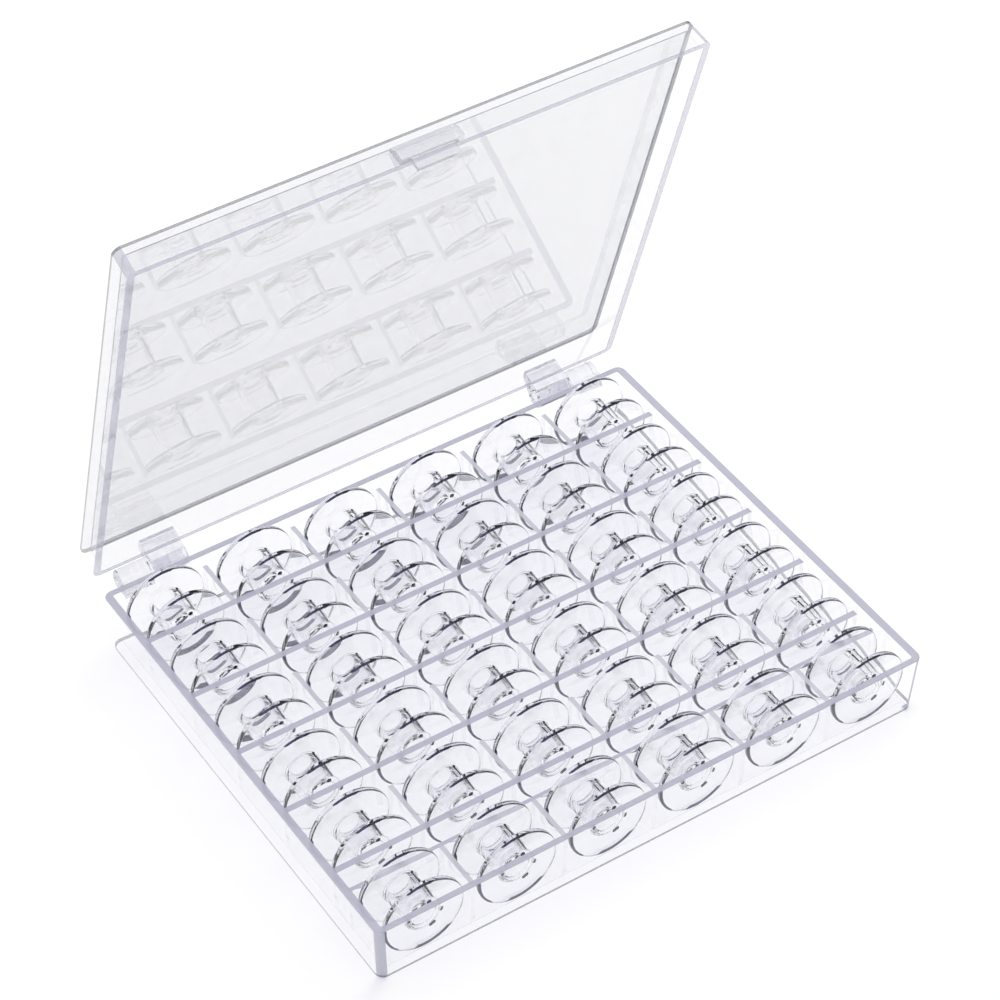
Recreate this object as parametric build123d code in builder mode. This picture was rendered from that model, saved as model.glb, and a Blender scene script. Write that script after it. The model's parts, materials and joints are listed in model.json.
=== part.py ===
from build123d import *
from math import cos, radians, sin
import os

# Thread spool storage box: a low clear tray with six rows of six compartments, one bobbin in
# each, and a shallow clear lid on two hinges along its back. Millimetres.
# X runs left to right, Y runs from the front to the hinges, Z is up.
# The origin is the centre of the tray's underside, on the table.
# The lid stands open as in the photograph. It is drawn in its shut place, on planes that are
# swung about the hinge axis.

# ---------------------------------------------------------------- driving dimensions

# Box
box_width = 148.0            # over the rims, left to right
box_depth = 122.0            # over the rims, front to back
corner_radius = 2.2          # upright outer corners
inner_corner_radius = 0.5    # upright inner corners
side_wall = 2.0              # left and right walls
end_wall = 1.6               # front and back walls
edge_round = 0.25            # rounding of the moulded edges

# Tray
tray_height = 16.8
tray_floor = 1.6
tray_lean = 0.83             # each outer wall leans out by this much from foot to rim

# Compartments
column_margin = 1.46         # from the box's side to the edge of the outermost column
last_row_depth = 16.9        # from the last divider's middle to the back wall's middle
least_bobbin_gap = 0.3       # on each side of a bobbin, between two ribs
least_finger_gap = 4.0       # from a rib's free end to the divider behind it
divider_thickness = 1.6
divider_drop = 1.7           # dividers and ribs end this far below the rim
divider_end_gap = 1.0        # from a divider's free right end to the right wall's rim
rib_thickness = 1.2
rib_length = 13.5            # from the divider in front to the rib's free end
rail_thickness = 1.0         # thin wall behind the front row of bobbins
rail_set_back = 14.3         # from the front wall's middle to the rail's middle

# Bobbins
bobbin_radius = 10.2
bobbin_width = 10.9
flange_thickness = 1.3
flange_chamfer = 0.25
hub_radius = 4.3
bore_radius = 3.0
bore_chamfer = 0.5
bobbin_set_back = 1.8        # from the middle of the wall in front to the bobbin's face
bobbin_floor_gap = 0.05

# Lid
lid_height = 7.6
lid_panel = 1.6
lid_lean = 0.47              # each outer wall leans out by this much from panel to rim
lid_open_angle = 73.4        # the pose in the photograph

# Hinges
hinge_behind_wall = 3.25     # from the back wall's rim to the hinge axis
hinge_below_rim = 1.8
knuckle_radius = 2.9
knuckle_inset = 6.0          # from the box's side to the tray knuckle's outer end
tray_knuckle_length = 8.2
lid_knuckle_length = 9.1
knuckle_gap = 0.4            # between a tray knuckle and its lid knuckle
pin_radius = 1.10
pin_clearance = 0.08         # radial, running fit in the lid's knuckle
pin_length = 5.2
web_below_rim = 0.2          # from the tray's rim down to the top of a tray knuckle's web
lid_tab_height = 4.2         # the lid knuckle's foot on the lid's back wall
lid_tab_thickness = 2.05
lid_tab_blend = 30.0         # degrees above level where the tab runs into the barrel's back

# Catch
catch_width = 16.0
catch_height = 4.6
catch_depth = 2.15
catch_slope_start = 2.3      # height at which the catch's face starts to slope back
catch_top_depth = 0.6
tongue_width = 11.0
tongue_thickness = 1.0
tongue_reach = 3.0           # past the lid's rim
tongue_gap = 0.2             # from the tray's front wall when the lid is shut

# ---------------------------------------------------------------- derived sizes and planes

half_width = box_width / 2
half_depth = box_depth / 2
divider_top = tray_height - divider_drop
front_wall_y = -(half_depth - end_wall / 2)
divider_end_x = half_width - side_wall - divider_end_gap

# The box holds as many columns and rows of compartments as fit, spread evenly.
columns_width = box_width - 2 * column_margin
least_column_pitch = 2 * bobbin_radius + 2 * least_bobbin_gap + rib_thickness
column_count = int(columns_width // least_column_pitch)
column_pitch = columns_width / column_count
rows_depth = box_depth - end_wall - last_row_depth
least_row_pitch = divider_thickness + rib_length + least_finger_gap
row_count = int(rows_depth // least_row_pitch) + 1
row_pitch = rows_depth / (row_count - 1)

lid_top = tray_height + lid_height
lid_ceiling = lid_top - lid_panel

hinge_y = half_depth + hinge_behind_wall
hinge_z = tray_height - hinge_below_rim
tray_knuckle_outer = half_width - knuckle_inset
tray_knuckle_inner = tray_knuckle_outer - tray_knuckle_length
lid_knuckle_outer = tray_knuckle_inner - knuckle_gap
lid_knuckle_inner = lid_knuckle_outer - lid_knuckle_length
bobbin_axis_z = tray_floor + bobbin_floor_gap + bobbin_radius

# Local coordinates on lid_ground are those of the shut lid.
open_angle = radians(lid_open_angle)
hinge_plane = Plane(
    origin=(0, hinge_y, hinge_z), x_dir=(1, 0, 0), z_dir=(0, sin(open_angle), cos(open_angle))
)
lid_ground = Plane(
    origin=hinge_plane.from_local_coords((0, -hinge_y, -hinge_z)),
    x_dir=(1, 0, 0),
    z_dir=hinge_plane.z_dir,
)
lid_side = Plane(origin=lid_ground.origin, x_dir=lid_ground.y_dir, z_dir=(1, 0, 0))

os.makedirs("parts", exist_ok=True)


def row_wall_y(row):
    """Middle of the wall in front of a row: the front wall for row 0, else a divider."""
    return front_wall_y + row * row_pitch


def column_x(column):
    """Middle of a column of compartments."""
    return (column - (column_count - 1) / 2) * column_pitch


def leaning_block(ground, low, high, low_size, high_size, radius, mode=Mode.ADD):
    """A block with round upright corners whose section grows evenly from low to high."""
    with BuildSketch(ground.offset(low)) as low_section:
        RectangleRounded(low_size[0], low_size[1], radius)
    with BuildSketch(ground.offset(high)) as high_section:
        RectangleRounded(high_size[0], high_size[1], radius)
    loft([low_section.sketch, high_section.sketch], ruled=True, mode=mode)


def tray_outside(mode=Mode.ADD):
    """The space inside the tray's outer faces."""
    foot = (box_width - 2 * tray_lean, box_depth - 2 * tray_lean)
    leaning_block(Plane.XY, 0, tray_height, foot, (box_width, box_depth), corner_radius, mode)


def tray_cavity(mode=Mode.ADD):
    """The space inside the tray's walls, above its floor."""
    rim = (box_width - 2 * side_wall, box_depth - 2 * end_wall)
    lean = tray_lean * (tray_height - tray_floor) / tray_height
    foot = (rim[0] - 2 * lean, rim[1] - 2 * lean)
    leaning_block(Plane.XY, tray_floor, tray_height, foot, rim, inner_corner_radius, mode)


def lid_outside(mode=Mode.ADD):
    """The space inside the lid's outer faces."""
    panel = (box_width - 2 * lid_lean, box_depth - 2 * lid_lean)
    rim = (box_width, box_depth)
    leaning_block(lid_ground, tray_height, lid_top, rim, panel, corner_radius, mode)


def lid_cavity(mode=Mode.ADD):
    """The space inside the lid's walls, under its panel."""
    rim = (box_width - 2 * side_wall, box_depth - 2 * end_wall)
    lean = lid_lean * (lid_height - lid_panel) / lid_height
    ceiling = (rim[0] - 2 * lean, rim[1] - 2 * lean)
    leaning_block(lid_ground, tray_height, lid_ceiling, rim, ceiling, inner_corner_radius, mode)


# ---------------------------------------------------------------- tray

with BuildPart() as tray_shell:
    tray_outside()
    tray_cavity(Mode.SUBTRACT)
    fillet(tray_shell.edges().group_by(Axis.Z)[-1], edge_round)
    fillet(tray_shell.edges().group_by(Axis.Z)[0], edge_round)
tray_shell.part.label = "tray_shell"
export_step(tray_shell.part, "parts/tray_shell.step")

# Each divider starts at the left wall and ends free, just short of the right wall.
for row in range(1, row_count):
    with BuildPart() as tray_divider:
        with BuildSketch(Plane.XY.offset(tray_floor)):
            with Locations((-half_width, row_wall_y(row))):
                Rectangle(
                    half_width + divider_end_x, divider_thickness, align=(Align.MIN, Align.CENTER)
                )
        extrude(amount=divider_top - tray_floor)
        tray_cavity(Mode.INTERSECT)
    name = f"tray_divider_{row}"
    tray_divider.part.label = name
    export_step(tray_divider.part, f"parts/{name}.step")

# The ribs part the compartments of a row. They stand on the back of the wall in front and end
# free, but those of the front row end at the rail.
for row in range(row_count):
    front_y = row_wall_y(row) + divider_thickness / 2
    rail_front_y = front_wall_y + rail_set_back - rail_thickness / 2
    back_y = rail_front_y if row == 0 else front_y + rib_length
    start_y = -half_depth if row == 0 else front_y
    with BuildPart() as tray_ribs_row:
        with BuildSketch(Plane.XY.offset(tray_floor)):
            with Locations((0, (start_y + back_y) / 2)):
                with GridLocations(column_pitch, 0, column_count - 1, 1):
                    Rectangle(rib_thickness, back_y - start_y)
        extrude(amount=divider_top - tray_floor)
        tray_cavity(Mode.INTERSECT)
    name = f"tray_ribs_row_{row + 1}"
    tray_ribs_row.part.label = name
    export_step(tray_ribs_row.part, f"parts/{name}.step")

with BuildPart() as tray_front_rail:
    with BuildSketch(Plane.XY.offset(tray_floor)):
        with Locations((-half_width, front_wall_y + rail_set_back)):
            Rectangle(half_width + divider_end_x, rail_thickness, align=(Align.MIN, Align.CENTER))
    extrude(amount=divider_top - tray_floor)
    tray_cavity(Mode.INTERSECT)
tray_front_rail.part.label = "tray_front_rail"
export_step(tray_front_rail.part, "parts/tray_front_rail.step")

# Each tray knuckle is a barrel on a web behind the back wall, with a stub pin on its inner end.
for side, side_name in ((-1, "left"), (1, "right")):
    knuckle_plane = Plane.YZ.offset(side * tray_knuckle_inner)
    with BuildPart() as tray_knuckle:
        with BuildSketch(knuckle_plane):
            with Locations((hinge_y, hinge_z)):
                Circle(knuckle_radius)
            web_low = hinge_z - knuckle_radius
            web_high = tray_height - web_below_rim
            with Locations((half_depth - end_wall, web_low)):
                Rectangle(
                    end_wall + hinge_behind_wall, web_high - web_low, align=(Align.MIN, Align.MIN)
                )
        extrude(amount=side * (tray_knuckle_outer - tray_knuckle_inner))
        tray_outside(Mode.SUBTRACT)
        with BuildSketch(knuckle_plane):
            with Locations((hinge_y, hinge_z)):
                Circle(pin_radius)
        extrude(amount=-side * pin_length)
        outer_end = tray_knuckle.faces().sort_by(Axis.X)[-1 if side > 0 else 0]
        chamfer(outer_end.edges().sort_by(Axis.Y)[-1], edge_round)
    name = f"tray_knuckle_{side_name}"
    tray_knuckle.part.label = name
    export_step(tray_knuckle.part, f"parts/{name}.step")

# ---------------------------------------------------------------- lid

with BuildPart() as lid_shell:
    lid_outside()
    lid_cavity(Mode.SUBTRACT)
    lid_up = Axis(lid_ground.origin, lid_ground.z_dir)
    fillet(lid_shell.edges().group_by(lid_up)[-1], edge_round)
    fillet(lid_shell.edges().group_by(lid_up)[0], edge_round)
lid_shell.part.label = "lid_shell"
export_step(lid_shell.part, "parts/lid_shell.step")

# Each lid knuckle hangs from a tab on the lid's back wall, and turns on the tray knuckle's pin.
for side, side_name in ((-1, "left"), (1, "right")):
    with BuildPart() as lid_knuckle:
        with BuildSketch(lid_side.offset(side * lid_knuckle_inner)):
            with Locations((hinge_y, hinge_z)):
                Circle(knuckle_radius)
            with BuildLine():
                tab_back = half_depth + lid_tab_thickness
                blend_y = hinge_y + knuckle_radius * cos(radians(lid_tab_blend))
                blend_z = hinge_z + knuckle_radius * sin(radians(lid_tab_blend))
                Polyline(
                    (half_depth - end_wall, tray_height),
                    (half_depth, tray_height),
                    (hinge_y - knuckle_radius, hinge_z),
                    (hinge_y, hinge_z),
                    (blend_y, blend_z),
                    (tab_back, tray_height + lid_tab_height),
                    (half_depth - end_wall, tray_height + lid_tab_height),
                    close=True,
                )
            make_face()
            with Locations((hinge_y, hinge_z)):
                Circle(pin_radius + pin_clearance, mode=Mode.SUBTRACT)
        extrude(amount=side * (lid_knuckle_outer - lid_knuckle_inner))
        lid_outside(Mode.SUBTRACT)
    name = f"lid_knuckle_{side_name}"
    lid_knuckle.part.label = name
    export_step(lid_knuckle.part, f"parts/{name}.step")

# The catch is a block on the lid's front wall, with a thin tongue that reaches past the rim.
with BuildPart() as lid_catch:
    with BuildSketch(lid_side):
        with BuildLine():
            Polyline(
                (-half_depth + end_wall / 2, tray_height),
                (-half_depth - catch_depth, tray_height),
                (-half_depth - catch_depth, tray_height + catch_slope_start),
                (-half_depth - catch_top_depth, tray_height + catch_height),
                (-half_depth + end_wall / 2, tray_height + catch_height),
                close=True,
            )
        make_face()
    extrude(amount=catch_width / 2, both=True)
    lid_outside(Mode.SUBTRACT)
    with BuildSketch(lid_side):
        with Locations((-half_depth - tongue_gap, tray_height - tongue_reach)):
            Rectangle(tongue_thickness, tongue_reach, align=(Align.MAX, Align.MIN))
    extrude(amount=tongue_width / 2, both=True)
lid_catch.part.label = "lid_catch"
export_step(lid_catch.part, "parts/lid_catch.step")

# ---------------------------------------------------------------- bobbins

for row in range(row_count):
    for column in range(column_count):
        face_y = row_wall_y(row) + bobbin_set_back
        bobbin_plane = Plane(
            origin=(column_x(column), face_y, bobbin_axis_z), x_dir=(1, 0, 0), z_dir=(0, -1, 0)
        )
        with BuildPart() as bobbin:
            with BuildSketch(bobbin_plane):
                Circle(bobbin_radius)
                Circle(bore_radius, mode=Mode.SUBTRACT)
            extrude(amount=-flange_thickness)
            with BuildSketch(bobbin_plane.offset(-flange_thickness)):
                Circle(hub_radius)
                Circle(bore_radius, mode=Mode.SUBTRACT)
            extrude(amount=-(bobbin_width - 2 * flange_thickness))
            with BuildSketch(bobbin_plane.offset(flange_thickness - bobbin_width)):
                Circle(bobbin_radius)
                Circle(bore_radius, mode=Mode.SUBTRACT)
            extrude(amount=-flange_thickness)
            circles = bobbin.edges().filter_by(GeomType.CIRCLE)
            rims = circles.filter_by(lambda edge: abs(edge.radius - bobbin_radius) < edge_round)
            chamfer(rims, flange_chamfer)
            circles = bobbin.edges().filter_by(GeomType.CIRCLE)
            mouths = circles.filter_by(lambda edge: abs(edge.radius - bore_radius) < edge_round)
            chamfer(mouths, bore_chamfer)
        name = f"bobbin_r{row + 1}_c{column + 1}"
        bobbin.part.label = name
        export_step(bobbin.part, f"parts/{name}.step")
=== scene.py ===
import json
import logging
import math
from dataclasses import dataclass
from enum import Enum

import bmesh
import bpy
from mathutils import Matrix, Vector


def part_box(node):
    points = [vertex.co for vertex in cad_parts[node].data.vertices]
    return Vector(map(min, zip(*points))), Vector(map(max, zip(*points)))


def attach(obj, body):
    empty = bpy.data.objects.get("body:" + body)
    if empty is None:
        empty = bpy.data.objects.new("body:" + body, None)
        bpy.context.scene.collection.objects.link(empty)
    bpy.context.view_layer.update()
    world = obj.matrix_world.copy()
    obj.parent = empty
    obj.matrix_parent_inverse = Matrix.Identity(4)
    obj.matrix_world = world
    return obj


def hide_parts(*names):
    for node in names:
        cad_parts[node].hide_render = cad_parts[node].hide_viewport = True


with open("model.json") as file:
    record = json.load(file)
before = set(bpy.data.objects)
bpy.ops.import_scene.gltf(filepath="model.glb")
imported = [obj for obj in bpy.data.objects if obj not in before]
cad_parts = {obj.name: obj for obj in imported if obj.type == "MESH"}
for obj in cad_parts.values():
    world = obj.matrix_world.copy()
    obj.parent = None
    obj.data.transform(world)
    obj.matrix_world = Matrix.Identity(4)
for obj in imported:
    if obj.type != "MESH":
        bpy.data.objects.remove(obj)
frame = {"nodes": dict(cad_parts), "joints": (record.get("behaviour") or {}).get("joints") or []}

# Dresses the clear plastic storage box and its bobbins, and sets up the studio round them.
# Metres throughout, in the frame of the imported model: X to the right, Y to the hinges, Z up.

logging.basicConfig(level=logging.INFO, format="%(name)s: %(message)s")
log = logging.getLogger("spool_box")

MM = 0.001
WHITE = (1.0, 1.0, 1.0)
CLEAR_PLASTIC_IOR = 1.49

Colour = tuple[float, float, float]
Socket = bpy.types.NodeSocket
Masks = dict[str, Socket]


class Thin(Enum):
    """The direction in which a sheet of plastic is thin, or that it is moulded as a tub."""

    ACROSS = "x"
    ALONG = "y"
    MOULDED_TUB = "tub"


@dataclass(frozen=True)
class DarkDot:
    """A dark round mark on a bobbin's front face, at an angle in degrees round its axis."""

    angle: float
    distance: float
    radius: float


@dataclass(frozen=True)
class PaintedReflectionArc:
    """A painted reflection: a dark arc on a flange's edge standing for a dark card seen in the rim,
    with its middle and half length in degrees, and its width.
    """

    angle: float
    reach: float
    width: float


# Dark dots on the bobbins' front faces round the bore.
DARK_DOTS = (
    DarkDot(72, 4.0 * MM, 0.6 * MM),
    DarkDot(98, 3.7 * MM, 0.32 * MM),
    DarkDot(117, 4.2 * MM, 0.25 * MM),
    DarkDot(123, 4.15 * MM, 0.28 * MM),
    DarkDot(130, 4.3 * MM, 0.25 * MM),
    DarkDot(292, 4.3 * MM, 0.55 * MM),
    DarkDot(301, 4.3 * MM, 0.6 * MM),
    DarkDot(350, 4.4 * MM, 0.4 * MM),
    DarkDot(357, 4.5 * MM, 0.35 * MM),
    DarkDot(175, 4.0 * MM, 0.45 * MM),
)
# Painted reflections: dark arcs on the flanges' edges, standing for a dark card seen in the rims.
PAINTED_REFLECTION_ARCS = (
    PaintedReflectionArc(95, 20, 0.45 * MM),
    PaintedReflectionArc(200, 32, 0.55 * MM),
    PaintedReflectionArc(284, 34, 1.2 * MM),
)


class Wiring:
    """Adds nodes to one node tree and joins them."""

    def __init__(self, tree: bpy.types.NodeTree) -> None:
        """Starts on a tree.

        Args:
            tree: The node tree of a material, a world or a group.
        """
        self.tree = tree

    def add(self, kind: str, **settings: object) -> bpy.types.Node:
        """Adds a node.

        Args:
            kind: The node's type, without the leading "ShaderNode".
            **settings: Attributes to set on the node.

        Returns:
            The new node.
        """
        node = self.tree.nodes.new("ShaderNode" + kind)
        for name, value in settings.items():
            setattr(node, name, value)
        return node

    def feed(self, socket: Socket, value: object) -> None:
        """Links a socket to an output, or sets its value.

        Args:
            socket: The input to feed.
            value: An output socket, a number or a colour.
        """
        if isinstance(value, bpy.types.NodeSocket):
            self.tree.links.new(value, socket)
            return
        if isinstance(value, tuple) and socket.type == "RGBA":
            value = (*value[:3], 1.0)
        socket.default_value = value

    def calc(self, operation: str, *terms: object) -> Socket:
        """Adds a Math node.

        Args:
            operation: The node's operation.
            *terms: Its inputs, in order.

        Returns:
            The result.
        """
        node = self.add("Math", operation=operation)
        for socket, term in zip(node.inputs, terms):
            self.feed(socket, term)
        return node.outputs[0]

    def plus(self, first: object, second: object) -> Socket:
        """Adds two values."""
        return self.calc("ADD", first, second)

    def minus(self, first: object, second: object) -> Socket:
        """Takes the second value from the first."""
        return self.calc("SUBTRACT", first, second)

    def times(self, first: object, second: object) -> Socket:
        """Multiplies two values, or gives the overlap of two masks."""
        return self.calc("MULTIPLY", first, second)

    def larger(self, first: object, second: object) -> Socket:
        """Gives the larger of two values, or the union of two masks."""
        return self.calc("MAXIMUM", first, second)

    def size(self, value: object) -> Socket:
        """Gives a value without its sign."""
        return self.calc("ABSOLUTE", value)

    def above(self, value: object, limit: object) -> Socket:
        """Masks where a value is above a limit."""
        return self.calc("GREATER_THAN", value, limit)

    def below(self, value: object, limit: object) -> Socket:
        """Masks where a value is below a limit."""
        return self.calc("LESS_THAN", value, limit)

    def near(self, value: object, target: object, reach: object) -> Socket:
        """Masks where a value is within reach of a target."""
        return self.calc("COMPARE", value, target, reach)

    def ramp(self, value: object, low: float, high: float, smooth: bool = True) -> Socket:
        """Rises from 0 to 1 as a value goes from low to high.

        Args:
            value: The value to follow.
            low: Where the ramp is 0.
            high: Where it is 1.
            smooth: Whether both ends are eased.

        Returns:
            The ramp's height.
        """
        node = self.add("MapRange")
        if smooth:
            node.interpolation_type = "SMOOTHSTEP"
        self.feed(node.inputs["Value"], value)
        self.feed(node.inputs["From Min"], low)
        self.feed(node.inputs["From Max"], high)
        return node.outputs[0]

    def split(self, vector: Socket) -> tuple[Socket, Socket, Socket]:
        """Splits a vector.

        Args:
            vector: The vector.

        Returns:
            Its X, Y and Z.
        """
        node = self.add("SeparateXYZ")
        self.feed(node.inputs[0], vector)
        return node.outputs[0], node.outputs[1], node.outputs[2]

    def blend(self, mask: object, low: object, high: object, colour: bool = True) -> Socket:
        """Mixes two colours or two numbers.

        Args:
            mask: 0 gives low and 1 gives high.
            low: The first colour or number.
            high: The second colour or number.
            colour: Whether these are colours.

        Returns:
            The mixed result.
        """
        node = self.add("Mix", data_type="RGBA" if colour else "FLOAT")
        inputs = [s for s in node.inputs if s.enabled]
        for socket, value in zip(inputs, (mask, low, high)):
            self.feed(socket, value)
        return next(s for s in node.outputs if s.enabled)

    def noise(self, place: Socket, grain: Socket, detail: float) -> Socket:
        """Adds a noise.

        Args:
            place: The position to read it at.
            grain: The size of its grain.
            detail: How many finer layers it has.

        Returns:
            The noise, about 0 to 1.
        """
        node = self.add("TexNoise")
        self.feed(node.inputs["Vector"], place)
        self.feed(node.inputs["Scale"], self.calc("DIVIDE", 1.0, grain))
        self.feed(node.inputs["Detail"], detail)
        return node.outputs[0]

    def bump(self, height: Socket, strength: float, depth: float) -> Socket:
        """Bends the surface's normal by a height.

        Args:
            height: The height, 0 to 1.
            strength: How much of the bend is kept.
            depth: The real height of 1.

        Returns:
            The bent normal.
        """
        node = self.add("Bump")
        node.inputs["Strength"].default_value = strength
        node.inputs["Distance"].default_value = depth
        self.feed(node.inputs["Height"], height)
        return node.outputs[0]

    def mix_shaders(self, amount: object, first: Socket, second: Socket) -> Socket:
        """Mixes two shaders.

        Args:
            amount: 0 gives the first and 1 gives the second.
            first: The first shader.
            second: The second shader.

        Returns:
            The mixed shader.
        """
        node = self.add("MixShader")
        for socket, value in zip(node.inputs, (amount, first, second)):
            self.feed(socket, value)
        return node.outputs[0]


def new_group(
    name: str, inputs: dict[str, float | None], outputs: tuple[str, ...]
) -> tuple[Wiring, Masks, Masks]:
    """Makes an empty shader node group.

    Args:
        name: The group's name.
        inputs: Input names, each with its default number, or None for a vector.
        outputs: The names of its outputs, which are all numbers.

    Returns:
        The wiring, the group's inputs by name, and its outputs by name.
    """
    tree = bpy.data.node_groups.new(name, "ShaderNodeTree")
    for label, default in inputs.items():
        kind = "NodeSocketVector" if default is None else "NodeSocketFloat"
        socket = tree.interface.new_socket(label, in_out="INPUT", socket_type=kind)
        if default is not None:
            socket.default_value = default
    for label in outputs:
        tree.interface.new_socket(label, in_out="OUTPUT", socket_type="NodeSocketFloat")
    start = tree.nodes.new("NodeGroupInput")
    end = tree.nodes.new("NodeGroupOutput")
    return Wiring(tree), {s.name: s for s in start.outputs}, {s.name: s for s in end.inputs}


def flow_marks_group() -> bpy.types.NodeTree:
    """Builds the faint waves and haze that a mould leaves in clear plastic.

    Returns:
        The group, which puts out a Haze of 0 to 1 and a Height.
    """
    clear_below, hazy_above = 0.45, 0.75
    w, given, out = new_group(
        "flow_marks",
        {"Position": None, "Wave Size": 12 * MM, "Haze Size": 4 * MM},
        ("Haze", "Height"),
    )
    wave = w.noise(given["Position"], given["Wave Size"], 2.0)
    haze = w.noise(given["Position"], given["Haze Size"], 4.0)
    w.feed(out["Haze"], w.ramp(haze, clear_below, hazy_above, smooth=False))
    w.feed(out["Height"], wave)
    return w.tree


def tub_edges_group() -> bpy.types.NodeTree:
    """Builds the zones where light leaves the edges of a thin-walled clear tub, which its finish
    darkens with painted shade.

    Positions are those of the shut box, with the tub's rim at Rim Level, its outer flat face
    at Far Level and the inner side of that face at Inner Level.

    Returns:
        The group, which puts out masks for the rim and the front corner posts, which the finish
        tints with painted shade, for the fine painted shade lines along the outer flat face and
        inside it, and for the flat panel.
    """
    flat_from, level_from, rim_up_from = 0.6, 0.97, 0.35
    rim_reach, wall_slack = 0.35 * MM, 0.02 * MM
    far_line_widths = 3.0
    w, given, out = new_group(
        "tub_edges",
        {
            "Position": None,
            "Normal": None,
            "Half Width": 74 * MM,
            "Half Depth": 61 * MM,
            "Side Wall": 2.0 * MM,
            "End Wall": 1.6 * MM,
            "Rim Level": 16.8 * MM,
            "Far Level": 0.0,
            "Inner Level": 1.6 * MM,
            "Lean": 0.8 * MM,
            "Line Width": 0.3 * MM,
        },
        ("Rim", "Post", "Far Line", "Inner Line", "Panel"),
    )
    x, y, z = w.split(given["Position"])
    steepness = w.size(w.split(given["Normal"])[2])
    at_rim = w.near(z, given["Rim Level"], rim_reach)
    w.feed(out["Rim"], w.times(at_rim, w.above(steepness, rim_up_from)))
    w.feed(out["Panel"], w.above(steepness, flat_from))

    # The walls lean in away from the rim, so the inner faces are followed from the rim down.
    depth = w.size(w.minus(z, given["Rim Level"]))
    height = w.size(w.minus(given["Far Level"], given["Rim Level"]))
    shift = w.times(w.calc("DIVIDE", depth, height), given["Lean"])
    out_x = w.plus(w.size(x), shift)
    out_y = w.plus(w.size(y), shift)
    in_x = w.minus(given["Half Width"], given["Side Wall"])
    in_y = w.minus(given["Half Depth"], given["End Wall"])
    past_x = w.above(out_x, w.plus(in_x, wall_slack))
    past_y = w.above(out_y, w.plus(in_y, wall_slack))
    w.feed(out["Post"], w.times(w.times(past_x, past_y), w.below(y, 0.0)))

    # Painted shade: fine dark lines at the edge of the outer flat face and, inside, at the foot of
    # the walls.
    far = w.near(z, given["Far Level"], w.times(given["Line Width"], far_line_widths))
    w.feed(out["Far Line"], w.times(far, w.below(steepness, level_from)))
    low = w.below(w.size(w.minus(z, given["Inner Level"])), given["Line Width"])
    inside = w.minus(1.0, w.larger(past_x, past_y))
    edge_x = w.above(out_x, w.minus(in_x, given["Line Width"]))
    edge_y = w.above(out_y, w.minus(in_y, given["Line Width"]))
    by_wall = w.times(w.larger(edge_x, edge_y), inside)
    w.feed(out["Inner Line"], w.times(low, by_wall))
    return w.tree


def painted_shade_and_reflection_marks_group() -> bpy.types.NodeTree:
    """Builds the dark marks of a clear bobbin, whose axis is Y and whose front face is at Y = 0.

    They are a painted shade line along the hub, standing for the dark edge that the hub shows, dark
    dots on the front face round the bore, and painted reflections on the flanges' front edges, dark
    arcs standing for a dark card seen in the rims.

    Returns:
        The group, which puts out masks of the painted shade line and the dots as Mask, of the hub
        as Core and of the flanges' Rim, which are tinted as painted shade, and of the painted
        reflections as Arc.
    """
    shade_line_reach, shade_line_half_length, core_slack = 0.25 * MM, 4.2 * MM, 0.1 * MM
    edge_reach, arc_inset, least_arc = 0.35 * MM, 0.15 * MM, 0.01 * MM
    w, given, out = new_group(
        "painted_shade_and_reflection_marks",
        {
            "Position": None,
            "Hub": 4.3 * MM,
            "Flange": 10.0 * MM,
            "Width": 10.9 * MM,
            "Thickness": 1.3 * MM,
            "Seam Width": 0.42 * MM,
            "Seam Angle": math.radians(50),
        },
        ("Mask", "Core", "Rim", "Arc"),
    )
    x, y, z = w.split(given["Position"])
    radius = w.calc("SQRT", w.plus(w.times(x, x), w.times(z, z)))
    w.feed(out["Core"], w.below(radius, w.plus(given["Hub"], core_slack)))
    w.feed(out["Rim"], w.above(radius, given["Flange"]))

    # Painted shade: a dark line along the hub, at a set angle round it, standing for the dark edge
    # that the hub shows.
    along = w.calc("COSINE", given["Seam Angle"])
    upward = w.calc("SINE", given["Seam Angle"])
    aside = w.minus(w.times(x, upward), w.times(z, along))
    ahead = w.plus(w.times(x, along), w.times(z, upward))
    mask = w.below(w.size(aside), given["Seam Width"])
    mask = w.times(mask, w.near(ahead, given["Hub"], shade_line_reach))
    mask = w.times(mask, w.near(y, w.times(given["Width"], 0.5), shade_line_half_length))
    for mark in DARK_DOTS:
        turn = math.radians(mark.angle)
        spot = w.add("CombineXYZ")
        spot.inputs["X"].default_value = mark.distance * math.cos(turn)
        spot.inputs["Z"].default_value = mark.distance * math.sin(turn)
        gap = w.add("VectorMath", operation="DISTANCE")
        w.feed(gap.inputs[0], given["Position"])
        w.feed(gap.inputs[1], spot.outputs[0])
        mask = w.larger(mask, w.below(gap.outputs["Value"], mark.radius))
    w.feed(out["Mask"], mask)

    # Each painted reflection arc is widest in its middle and runs out at both ends.
    width = 0.0
    for arc in PAINTED_REFLECTION_ARCS:
        turn, end = math.radians(arc.angle), math.cos(math.radians(arc.reach))
        toward = w.plus(w.times(x, math.cos(turn)), w.times(z, math.sin(turn)))
        share = w.ramp(w.calc("DIVIDE", toward, radius), end, 0.5 + 0.5 * end)
        width = w.larger(width, w.times(share, arc.width))
    rear_face = w.minus(given["Width"], given["Thickness"])
    by_front = w.larger(w.near(y, 0.0, edge_reach), w.near(y, rear_face, edge_reach))
    start = w.plus(w.minus(given["Flange"], width), arc_inset)
    painted_arc = w.times(by_front, w.above(radius, start))
    w.feed(out["Arc"], w.times(painted_arc, w.above(width, least_arc)))
    return w.tree


class Groups:
    """The shader node groups of the finishes."""

    def __init__(self) -> None:
        """Builds each group once."""
        self.flow_marks = flow_marks_group()
        self.tub_edges = tub_edges_group()
        self.painted_shade_and_reflection_marks = painted_shade_and_reflection_marks_group()


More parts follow.
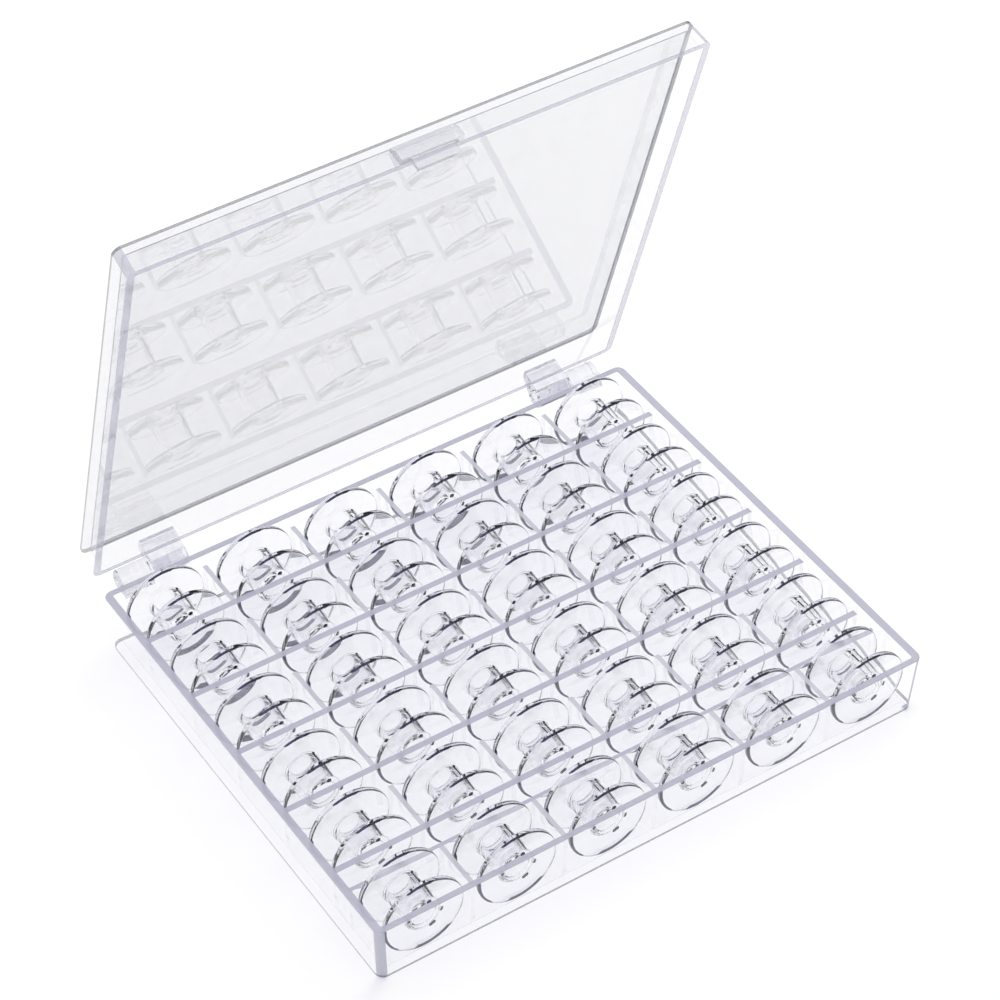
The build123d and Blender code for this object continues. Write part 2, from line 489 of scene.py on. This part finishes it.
def place_group(w: Wiring, group: bpy.types.NodeTree, values: dict[str, object]) -> Masks:
    """Places a node group in a material.

    Args:
        w: The material's wiring.
        group: The group.
        values: Input names, each with its value or an output to link.

    Returns:
        The group node's outputs by name.
    """
    node = w.add("Group")
    node.node_tree = group
    for label, value in values.items():
        w.feed(node.inputs[label], value)
    return {s.name: s for s in node.outputs}


def new_material(name: str) -> tuple[bpy.types.Material, Wiring, bpy.types.Node]:
    """Starts a material.

    Args:
        name: The finish's name.

    Returns:
        The material, its wiring and its Principled BSDF.
    """
    material = bpy.data.materials.new(name)
    material.use_nodes = True
    return material, Wiring(material.node_tree), material.node_tree.nodes["Principled BSDF"]


def let_light_through(w: Wiring, surface: Socket, tint: object) -> None:
    """Ends a clear finish so that the studio's soft light passes it and reaches what is behind.

    Args:
        w: The material's wiring.
        surface: The finish's own shader.
        tint: The colour that the passing light keeps.
    """
    path = w.add("LightPath")
    clear = w.add("BsdfTransparent")
    w.feed(clear.inputs["Color"], tint)
    soft = w.larger(path.outputs["Is Shadow Ray"], path.outputs["Is Diffuse Ray"])
    mixed = w.mix_shaders(soft, surface, clear.outputs[0])
    w.feed(w.tree.nodes["Material Output"].inputs["Surface"], mixed)


@dataclass(frozen=True)
class TubPlaces:
    """Where the walls of a shallow moulded tub stand in the shut box."""

    rim_level: float
    far_level: float
    inner_level: float
    lean: float
    half_width: float = 74 * MM
    half_depth: float = 61 * MM
    side_wall: float = 2.0 * MM
    end_wall: float = 1.6 * MM

    def values(self) -> dict[str, float]:
        """Gives the inputs of the tub_edges group.

        Returns:
            The inputs by name.
        """
        return {
            "Half Width": self.half_width,
            "Half Depth": self.half_depth,
            "Side Wall": self.side_wall,
            "End Wall": self.end_wall,
            "Rim Level": self.rim_level,
            "Far Level": self.far_level,
            "Inner Level": self.inner_level,
            "Lean": self.lean,
        }


@dataclass(frozen=True)
class SheetPlastic:
    """Clear moulded plastic in sheets: nearly unseen face on, lavender where it ends, with painted
    shade there as well as the plastic's tint.

    Levels are those of the shut box. A lid's finish is turned back to that place by its angle.
    A cover is how much of the light behind a zone its own colour hides.
    """

    name: str
    thin: Thin
    tub: TubPlaces | None = None
    wall_cover: float = 0.008
    panel_cover: float = 0.008
    # How much the edges' painted shade and lavender tint hide what is behind them.
    edge_tint_and_shade_cover: float = 0.9
    # How much of what is behind them the fine painted shade lines hide.
    edge_line_shade_cover: float = 0.75
    inner_line: float = 0.12
    end_share: float = 0.12
    top_level: float = 8 * MM
    wall_colour: Colour = (0.66, 0.66, 0.78)
    panel_colour: Colour = (0.42, 0.43, 0.49)
    # Painted shade with the plastic's lavender tint, on the tub's rim and front corner posts and on
    # the sheets' tops and ends.
    edge_tint_and_shade_colour: Colour = (0.42, 0.42, 0.52)
    # Painted shade: the fine dark lines along the tub's edges.
    edge_line_shade_colour: Colour = (0.15, 0.15, 0.19)
    shadow_tint: Colour = (0.978, 0.978, 0.985)
    edge_shadow: Colour = (0.55, 0.55, 0.65)
    shine_floor: float = 0.0
    edge_shine: float = 0.4
    roughness: float = 0.03
    hazy_roughness: float = 2.5
    least_haze: float = 0.96
    most_haze: float = 1.08
    wave: float = 0.012
    wave_depth: float = 0.2 * MM
    open_angle: float = 0.0
    hinge: tuple[float, float, float] = (0.0, 0.0, 0.0)

    def shut_place(self, w: Wiring) -> tuple[Socket, Socket]:
        """Gives the position and normal that a point has when the box is shut.

        Args:
            w: The material's wiring.

        Returns:
            The position and the normal.
        """
        spot = w.add("TexCoord")
        turned = []
        for source, centre in (("Object", self.hinge), ("Normal", (0.0, 0.0, 0.0))):
            turn = w.add("VectorRotate", rotation_type="X_AXIS")
            w.feed(turn.inputs["Vector"], spot.outputs[source])
            w.feed(turn.inputs["Center"], centre)
            w.feed(turn.inputs["Angle"], self.open_angle)
            turned.append(turn.outputs[0])
        return turned[0], turned[1]

    def zones(self, w: Wiring, groups: Groups, place: Socket, normal: Socket) -> Masks:
        """Gives the masks of the sheet's edges and, on a tub, of its fine lines and flat panel.

        Args:
            w: The material's wiring.
            groups: The shared node groups.
            place: The position in the shut box.
            normal: The normal in the shut box.

        Returns:
            The mask Edge, and on a tub also Line and Panel.
        """
        if self.thin is Thin.MOULDED_TUB:
            found = place_group(
                w, groups.tub_edges, {"Position": place, "Normal": normal, **self.tub.values()}
            )
            inner = w.times(found["Inner Line"], self.inner_line)
            return {
                "Edge": w.larger(found["Rim"], found["Post"]),
                "Line": w.larger(found["Far Line"], inner),
                "Panel": found["Panel"],
            }
        across, along, up = w.split(normal)
        height = w.split(place)[2]
        top = w.times(w.above(up, 0.5), w.above(height, self.top_level))
        thin_side = across if self.thin is Thin.ACROSS else along
        end = w.below(w.plus(w.size(thin_side), w.size(up)), 0.5)
        return {"Edge": w.larger(top, w.times(end, self.end_share))}

    def make(self, groups: Groups) -> bpy.types.Material:
        """Builds the material.

        Args:
            groups: The shared node groups.

        Returns:
            The material.
        """
        material, w, body = new_material(self.name)
        place, normal = self.shut_place(w)
        zone = self.zones(w, groups, place, normal)
        marks = place_group(w, groups.flow_marks, {"Position": place})
        colour, cover = self.wall_colour, self.wall_cover
        if "Panel" in zone:
            colour = w.blend(zone["Panel"], colour, self.panel_colour)
            cover = w.blend(zone["Panel"], cover, self.panel_cover, colour=False)
        haze = w.blend(marks["Haze"], self.least_haze, self.most_haze, colour=False)
        # The edges take the plastic's lavender tint and painted shade.
        colour = w.blend(zone["Edge"], colour, self.edge_tint_and_shade_colour)
        cover = w.blend(zone["Edge"], w.times(cover, haze), self.edge_tint_and_shade_cover, colour=False)
        # Painted shade: fine dark lines along the tub's edges.
        if "Line" in zone:
            colour = w.blend(zone["Line"], colour, self.edge_line_shade_colour)
            cover = w.blend(zone["Line"], cover, self.edge_line_shade_cover, colour=False)
        hazy = self.roughness * self.hazy_roughness
        bent = w.bump(marks["Height"], self.wave, self.wave_depth)
        w.feed(body.inputs["Base Color"], colour)
        w.feed(body.inputs["Alpha"], cover)
        w.feed(body.inputs["Roughness"], w.blend(marks["Haze"], self.roughness, hazy, colour=False))
        w.feed(body.inputs["Normal"], bent)
        body.inputs["IOR"].default_value = CLEAR_PLASTIC_IOR
        self.add_gloss(w, body, bent, zone["Edge"])
        return material

    def add_gloss(self, w: Wiring, body: bpy.types.Node, normal: Socket, edge: Socket) -> None:
        """Lays the clear sheet's own reflection over its faint body.

        Args:
            w: The material's wiring.
            body: The Principled BSDF.
            normal: The bumped normal.
            edge: The mask of the sheet's edges, which shine less.
        """
        fresnel = w.add("Fresnel")
        fresnel.inputs["IOR"].default_value = CLEAR_PLASTIC_IOR
        facing = w.minus(1.0, w.add("NewGeometry").outputs["Backfacing"])
        amount = w.times(w.larger(fresnel.outputs[0], self.shine_floor), facing)
        amount = w.times(amount, w.blend(edge, 1.0, self.edge_shine, colour=False))
        shine = w.add("BsdfGlossy")
        shine.inputs["Color"].default_value = (*WHITE, 1.0)
        shine.inputs["Roughness"].default_value = self.roughness
        w.feed(shine.inputs["Normal"], normal)
        mixed = w.mix_shaders(amount, body.outputs[0], shine.outputs[0])
        let_light_through(w, mixed, w.blend(edge, self.shadow_tint, self.edge_shadow))


@dataclass(frozen=True)
class SolidPlastic:
    """Clear moulded plastic in thick pieces, which bends light as glass does."""

    name: str
    colour: Colour = (0.985, 0.985, 0.995)
    haze_colour: Colour = (0.97, 0.97, 0.985)
    shadow_tint: Colour = (0.984, 0.984, 0.989)
    roughness: float = 0.0
    hazy_roughness: float = 0.01
    wave: float = 0.003
    wave_depth: float = 0.1 * MM
    wave_size: float = 6 * MM
    haze_size: float = 1.5 * MM
    marked: bool = False
    # Painted shade: the hub's plastic is tinted a little darker for the shading seen inside it.
    painted_hub_shade_colour: Colour = (0.97, 0.97, 0.985)
    # Painted shade: the flanges' rims are tinted grey for the outline that their curved edges show.
    painted_rim_shade_colour: Colour = (0.86, 0.86, 0.91)
    # Painted reflection: the near-black of the arcs on the flanges' edges.
    painted_reflection_colour: Colour = (0.003, 0.003, 0.016)
    # Painted shade for the dark line along the hub, and the colour of the dark dots round the bore.
    shade_line_and_dot_colour: Colour = (0.0002, 0.0002, 0.001)

    def make(self, groups: Groups) -> bpy.types.Material:
        """Builds the material.

        Args:
            groups: The shared node groups.

        Returns:
            The material.
        """
        material, w, body = new_material(self.name)
        place = w.add("TexCoord").outputs["Object"]
        marks = place_group(
            w,
            groups.flow_marks,
            {"Position": place, "Wave Size": self.wave_size, "Haze Size": self.haze_size},
        )
        colour = w.blend(marks["Haze"], self.colour, self.haze_colour)
        if self.marked:
            found = place_group(w, groups.painted_shade_and_reflection_marks, {"Position": place})
            # Painted shade on the hub.
            colour = w.blend(found["Core"], colour, self.painted_hub_shade_colour)
            # Painted shade on the flanges' rims.
            colour = w.blend(found["Rim"], colour, self.painted_rim_shade_colour)
            # Painted reflection: the dark arcs on the flanges' edges.
            colour = w.blend(found["Arc"], colour, self.painted_reflection_colour)
            # Painted shade line along the hub, and the dark dots round the bore.
            colour = w.blend(found["Mask"], colour, self.shade_line_and_dot_colour)
        hazy = self.roughness + self.hazy_roughness
        w.feed(body.inputs["Base Color"], colour)
        w.feed(body.inputs["Roughness"], w.blend(marks["Haze"], self.roughness, hazy, colour=False))
        w.feed(body.inputs["Normal"], w.bump(marks["Height"], self.wave, self.wave_depth))
        body.inputs["Transmission Weight"].default_value = 1.0
        body.inputs["IOR"].default_value = CLEAR_PLASTIC_IOR
        let_light_through(w, body.outputs[0], self.shadow_tint)
        return material


def dress(prefix: str, material: bpy.types.Material) -> None:
    """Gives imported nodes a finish.

    Args:
        prefix: What the nodes' names start with.
        material: The finish.
    """
    for name in sorted(n for n in frame["nodes"] if n.startswith(prefix)):
        mesh = frame["nodes"][name].data
        mesh.materials.clear()
        mesh.materials.append(material)
        log.info("%s takes the finish %s", name, material.name)


@dataclass
class Tray:
    """The tray: its tub, the sheets that part it, and the fixed halves of the hinges."""

    height: float = 16.8 * MM
    floor: float = 1.6 * MM
    lean: float = 0.83 * MM

    def build(self, groups: Groups) -> None:
        """Dresses the tray's nodes.

        Args:
            groups: The shared node groups.
        """
        tub = TubPlaces(self.height, 0.0, self.floor, self.lean)
        shell = SheetPlastic("tray_shell_clear", Thin.MOULDED_TUB, tub)
        divider = SheetPlastic("tray_divider_clear", Thin.ALONG, wall_cover=0.02).make(groups)
        rib = SheetPlastic(
            "tray_rib_clear", Thin.ACROSS, wall_cover=0.015, edge_tint_and_shade_colour=(0.52, 0.53, 0.6)
        )
        knuckle = SolidPlastic("tray_knuckle_clear", colour=(0.84, 0.84, 0.88))
        dress("tray_shell", shell.make(groups))
        dress("tray_divider", divider)
        dress("tray_front_rail", divider)
        dress("tray_ribs", rib.make(groups))
        dress("tray_knuckle", knuckle.make(groups))


@dataclass
class Lid:
    """The lid: its shallow tub, the turning halves of the hinges, and the catch."""

    rim_level: float = 16.8 * MM
    height: float = 7.6 * MM
    panel: float = 1.6 * MM
    lean: float = 0.47 * MM

    def shell(self) -> SheetPlastic:
        """Gives the finish of the lid's tub.

        Returns:
            The finish, which follows the lid from the angle at which it stands open.
        """
        hinge = next(j for j in frame["joints"] if j["name"] == "lid_hinge")
        top = self.rim_level + self.height
        return SheetPlastic(
            "lid_shell_clear",
            Thin.MOULDED_TUB,
            TubPlaces(self.rim_level, top, top - self.panel, self.lean),
            wall_cover=0.06,
            panel_cover=0.22,
            panel_colour=(0.4, 0.41, 0.46),
            edge_tint_and_shade_cover=0.6,
            edge_tint_and_shade_colour=(0.45, 0.45, 0.56),
            edge_line_shade_cover=0.8,
            inner_line=0.9,
            shine_floor=0.22,
            roughness=0.006,
            open_angle=-math.radians(hinge["range_deg"][0]),
            hinge=tuple(hinge["pos_m"]),
        )

    def build(self, groups: Groups) -> None:
        """Dresses the lid's nodes.

        Args:
            groups: The shared node groups.
        """
        knuckle = SolidPlastic("lid_knuckle_clear", colour=(0.8, 0.8, 0.85))
        catch = SolidPlastic("lid_catch_clear", colour=(0.93, 0.93, 0.97), roughness=0.25)
        dress("lid_shell", self.shell().make(groups))
        dress("lid_knuckle", knuckle.make(groups))
        dress("lid_catch", catch.make(groups))


@dataclass
class Bobbin:
    """A clear bobbin: two round flanges on a hollow hub, turned about its own Y axis."""

    radius: float = 10.2 * MM
    width: float = 10.9 * MM
    flange: float = 1.3 * MM
    rim_round: float = 0.3 * MM
    hub: float = 4.3 * MM
    hub_fillet: float = 0.5 * MM
    bore: float = 3.0 * MM
    bore_chamfer: float = 0.5 * MM
    crisp_angle: float = math.radians(40)
    steps: int = 128
    arc_steps: int = 6

    def arc(
        self, centre: tuple[float, float], size: float, start: float, end: float
    ) -> list[tuple[float, float]]:
        """Gives points on an arc of the profile.

        Args:
            centre: The arc's centre as (radius, place along the axis).
            size: The arc's radius.
            start: The first angle in degrees.
            end: The last angle in degrees.

        Returns:
            The points, both ends included.
        """
        points = []
        for step in range(self.arc_steps + 1):
            angle = math.radians(start + (end - start) * step / self.arc_steps)
            points.append((centre[0] + size * math.cos(angle), centre[1] + size * math.sin(angle)))
        return points

    def profile(self) -> list[tuple[float, float]]:
        """Draws half the bobbin's section.

        Returns:
            The closed outline, as (radius, place along the axis).
        """
        r, f, w = self.rim_round, self.hub_fillet, self.width
        edge = self.radius - r
        points = [(self.bore, self.bore_chamfer), (self.bore + self.bore_chamfer, 0.0)]
        points += self.arc((edge, r), r, -90, 0)
        points += self.arc((edge, self.flange - r), r, 0, 90)
        points += self.arc((self.hub + f, self.flange + f), f, -90, -180)
        points += self.arc((self.hub + f, w - self.flange - f), f, 180, 90)
        points += self.arc((edge, w - self.flange + r), r, -90, 0)
        points += self.arc((edge, w - r), r, 0, 90)
        points += [(self.bore + self.bore_chamfer, w), (self.bore, w - self.bore_chamfer)]
        return points

    def mesh(self) -> bpy.types.Mesh:
        """Turns the profile about the Y axis.

        Returns:
            The bobbin's mesh, with its front face at Y = 0.
        """
        shape = bmesh.new()
        outline = self.profile()
        rings = []
        for step in range(self.steps):
            angle = 2 * math.pi * step / self.steps
            east, up = math.cos(angle), math.sin(angle)
            rings.append([shape.verts.new((r * east, y, r * up)) for r, y in outline])
        for step, ring in enumerate(rings):
            following = rings[(step + 1) % self.steps]
            for place in range(len(outline)):
                after = (place + 1) % len(outline)
                shape.faces.new((ring[place], ring[after], following[after], following[place]))
        bmesh.ops.recalc_face_normals(shape, faces=shape.faces)
        mesh = bpy.data.meshes.new("bobbin_turned")
        shape.to_mesh(mesh)
        shape.free()
        for face in mesh.polygons:
            face.use_smooth = True
        return mesh

    def build(self, groups: Groups) -> None:
        """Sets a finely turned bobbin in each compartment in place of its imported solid.

        Args:
            groups: The shared node groups.
        """
        mesh = self.mesh()
        mesh.materials.append(SolidPlastic("bobbin_clear", marked=True).make(groups))
        for node in sorted(n for n in frame["nodes"] if n.startswith("bobbin_")):
            low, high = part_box(node)
            piece = bpy.data.objects.new(node.replace("bobbin", "turned_bobbin"), mesh)
            bpy.context.scene.collection.objects.link(piece)
            piece.location = ((low.x + high.x) / 2, low.y, (low.z + high.z) / 2)
            sharpen = piece.modifiers.new("crisp_corners", "EDGE_SPLIT")
            sharpen.split_angle = self.crisp_angle
            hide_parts(node)
            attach(piece, node)
            log.info("%s stands for %s", piece.name, node)


@dataclass
class Studio:
    """The pale floor, the soft light and the camera."""

    floor_size: float = 6.0
    floor_gap: float = 0.3 * MM
    floor_colour: Colour = (0.98, 0.98, 0.985)
    floor_roughness: float = 0.8
    floor_shine: float = 0.1
    sky_level: float = 0.95
    card_azimuth: float = 0.0
    card_edge: float = 0.35
    card_top: float = 0.5
    card_blur: float = 0.1
    card_colour: Colour = (0.01, 0.01, 0.03)
    key_power: float = 8.0
    key_size: float = 0.9
    key_place: tuple[float, float, float] = (0.9, 0.5, 1.1)
    clear_bounces: int = 32
    mirror_bounces: int = 8
    sheets_deep: int = 64
    eye: tuple[float, float, float] = (-302.03 * MM, -453.95 * MM, 578.48 * MM)
    azimuth: float = -33.633
    elevation: float = 43.329
    roll: float = 0.186
    lens: float = 121.29
    sensor: float = 36.0
    nearest: float = 0.01
    shift: tuple[float, float] = (-0.0092, -0.0225)

    def build(self) -> None:
        """Sets up the floor, the light and the camera."""
        self.floor()
        self.light()
        self.camera()

    def floor(self) -> None:
        """Lays the pale floor."""
        shape = bmesh.new()
        bmesh.ops.create_grid(shape, x_segments=1, y_segments=1, size=self.floor_size / 2)
        mesh = bpy.data.meshes.new("pale_floor")
        shape.to_mesh(mesh)
        shape.free()
        floor = bpy.data.objects.new("pale_floor", mesh)
        floor.location.z = -self.floor_gap
        bpy.context.scene.collection.objects.link(floor)
        material, _, body = new_material("pale_floor")
        body.inputs["Base Color"].default_value = (*self.floor_colour, 1.0)
        body.inputs["Roughness"].default_value = self.floor_roughness
        body.inputs["Specular IOR Level"].default_value = self.floor_shine
        mesh.materials.append(material)

    def light(self) -> None:
        """Lights the box from all round, and a little more from the right and behind."""
        world = bpy.data.worlds.new("soft_white_room")
        world.use_nodes = True
        w = Wiring(world.node_tree)
        background = w.tree.nodes["Background"]
        w.feed(background.inputs["Color"], self.sky(w))
        background.inputs["Strength"].default_value = self.sky_level
        bpy.context.scene.world = world
        lamp = bpy.data.lights.new("soft_key", "AREA")
        lamp.size = self.key_size
        lamp.energy = self.key_power
        key = bpy.data.objects.new("soft_key", lamp)
        key.location = self.key_place
        key.visible_glossy = False
        key.visible_transmission = False
        key.rotation_mode = "QUATERNION"
        key.rotation_quaternion = Vector(self.key_place).to_track_quat("Z", "Y")
        bpy.context.scene.collection.objects.link(key)
        bpy.context.scene.view_settings.view_transform = "Standard"
        cycles = bpy.context.scene.cycles
        cycles.max_bounces = self.clear_bounces
        cycles.transmission_bounces = self.clear_bounces
        cycles.glossy_bounces = self.mirror_bounces
        cycles.transparent_max_bounces = self.sheets_deep

    def sky(self, w: Wiring) -> Socket:
        """Gives the white room's colour, with a dark card that stands low on one side.

        Args:
            w: The world's wiring.

        Returns:
            The colour by direction.
        """
        east, north, up = w.split(w.add("TexCoord").outputs["Generated"])
        turn = math.radians(self.card_azimuth)
        ahead = w.plus(w.times(east, math.cos(turn)), w.times(north, math.sin(turn)))
        beside = w.ramp(ahead, self.card_edge - self.card_blur, self.card_edge + self.card_blur)
        under = w.ramp(up, self.card_top + self.card_blur, self.card_top - self.card_blur)
        return w.blend(w.times(beside, under), WHITE, self.card_colour)

    def camera(self) -> None:
        """Puts the camera where the photograph was taken from."""
        turn, rise, roll = (math.radians(v) for v in (self.azimuth, self.elevation, self.roll))
        back = Vector(
            (math.sin(turn) * math.cos(rise), -math.cos(turn) * math.cos(rise), math.sin(rise))
        )
        right = Vector((0, 0, 1)).cross(back).normalized()
        up = back.cross(right)
        rolled_right = math.cos(roll) * right + math.sin(roll) * up
        rolled_up = math.cos(roll) * up - math.sin(roll) * right
        lens = bpy.data.cameras.new("camera")
        lens.lens = self.lens
        lens.sensor_width = self.sensor
        lens.shift_x, lens.shift_y = self.shift
        lens.clip_start = self.nearest
        camera = bpy.data.objects.new("camera", lens)
        bpy.context.scene.collection.objects.link(camera)
        turned = Matrix((rolled_right, rolled_up, back)).transposed().to_4x4()
        camera.matrix_world = Matrix.Translation(self.eye) @ turned
        bpy.context.scene.camera = camera


def main() -> None:
    """Builds the picture: the studio, then the tray, the lid and the bobbins."""
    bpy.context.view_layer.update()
    Studio().build()
    groups = Groups()
    for part in (Tray(), Lid(), Bobbin()):
        part.build(groups)
        log.info("%s is dressed", type(part).__name__)


if __name__ == "__main__":
    main()
